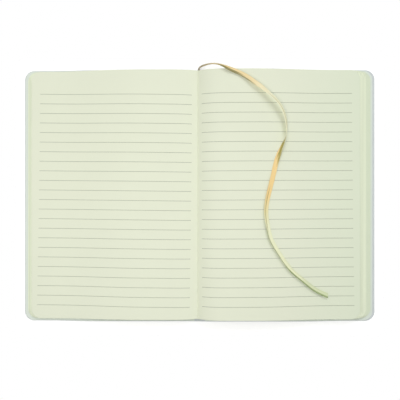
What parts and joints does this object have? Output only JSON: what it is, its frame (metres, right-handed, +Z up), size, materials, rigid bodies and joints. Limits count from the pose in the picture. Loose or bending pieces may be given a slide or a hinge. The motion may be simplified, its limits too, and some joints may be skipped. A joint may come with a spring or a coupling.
{
  "type": "notebook",
  "caption": "Open ruled notebook with a soft cover, arched pages with rounded corners and a ribbon marker, for writing by hand.",
  "frame": {"origin": "on the table under the middle of the open spread, halfway between head and tail", "axes": "+X across the spread to the right-hand page, +Y along the spine to the head, +Z up out of the pages"},
  "size_m": [0.298, 0.2157, 0.0202],
  "materials": {
    "page_paper": "matt cream writing paper with a greenish cast",
    "line_ink": "thin grey-green printed rules",
    "lining_cloth": "woven lining cloth set in glue",
    "cover_sheet": "pale grey soft cover with a fine grain",
    "end_paper": "smooth pale grey paper",
    "ribbon_satin": "gold satin weave"
  },
  "bodies": {
    "book": {"page_block": "page_paper", "ruled_lines": "line_ink", "spine_lining": "lining_cloth", "spine_panel": "cover_sheet", "ribbon": "ribbon_satin"},
    "front": {"front_cover": "cover_sheet", "front_pastedown": "end_paper"},
    "back": {"back_cover": "cover_sheet", "back_pastedown": "end_paper"}
  },
  "joints": [
    {"name": "front_cover_hinge", "type": "hinge", "parent": "book", "child": "front", "pos_m": [-0.0045, 0, 0], "axis": [0, -1, 0], "range_deg": [0, 90]},
    {"name": "back_cover_hinge", "type": "hinge", "parent": "book", "child": "back", "pos_m": [0.0045, 0, 0], "axis": [0, 1, 0], "range_deg": [0, 90]}
  ]
}
